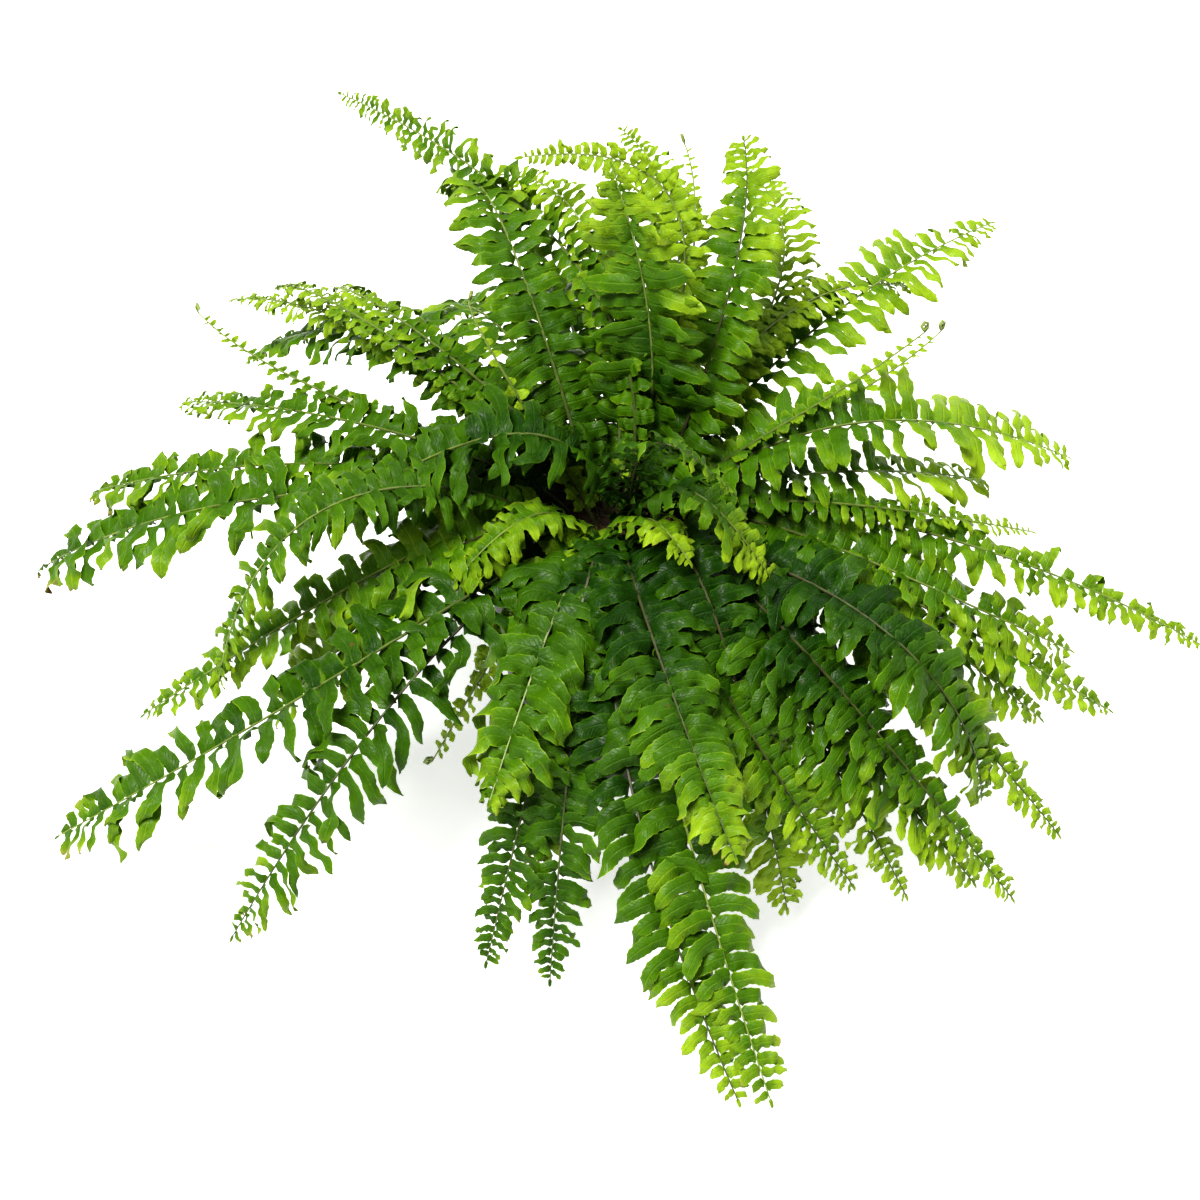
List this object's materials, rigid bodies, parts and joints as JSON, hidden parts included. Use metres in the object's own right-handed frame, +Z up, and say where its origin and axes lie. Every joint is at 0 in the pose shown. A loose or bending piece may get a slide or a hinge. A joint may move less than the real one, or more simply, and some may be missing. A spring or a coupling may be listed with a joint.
{
  "type": "potted fern",
  "caption": "Potted sword fern: a full rosette of arching and hanging fronds with paired leaflets, in a plain round tapered nursery pot that stands on its base.",
  "frame": {"origin": "centre of the pot's flat underside, on the surface that it stands on", "axes": "+Z up along the pot's axis; -Y is the side that the viewer stands on; +X is to the viewer's right"},
  "size_m": [0.75, 0.6639, 0.39],
  "materials": {
    "leaf": "soft satin green leaf",
    "crown": "rough brown scales",
    "soil": "moist dark peat",
    "pot": "satin moulded"
  },
  "bodies": {
    "root": {"back_1": "leaf", "back_10": "leaf", "back_11": "leaf", "back_12": "leaf", "back_13": "leaf", "back_2": "leaf", "back_3": "leaf", "back_4": "leaf", "back_5": "leaf", "back_6": "leaf", "back_7": "leaf", "back_8": "leaf", "back_9": "leaf", "crown": "crown", "front_1": "leaf", "front_2": "leaf", "front_3": "leaf", "front_4": "leaf", "front_5": "leaf", "front_6": "leaf", "front_7": "leaf", "front_8": "leaf", "front_9": "leaf", "inner_1": "leaf", "inner_2": "leaf", "inner_3": "leaf", "inner_4": "leaf", "left_1": "leaf", "left_10": "leaf", "left_11": "leaf", "left_12": "leaf", "left_13": "leaf", "left_14": "leaf", "left_2": "leaf", "left_3": "leaf", "left_4": "leaf", "left_5": "leaf", "left_6": "leaf", "left_7": "leaf", "left_8": "leaf", "left_9": "leaf", "pot": "pot", "right_1": "leaf", "right_10": "leaf", "right_11": "leaf", "right_12": "leaf", "right_13": "leaf", "right_14": "leaf", "right_15": "leaf", "right_16": "leaf", "right_17": "leaf", "right_2": "leaf", "right_3": "leaf", "right_4": "leaf", "right_5": "leaf", "right_6": "leaf", "right_7": "leaf", "right_8": "leaf", "right_9": "leaf", "soil": "soil"}
  },
  "joints": []
}
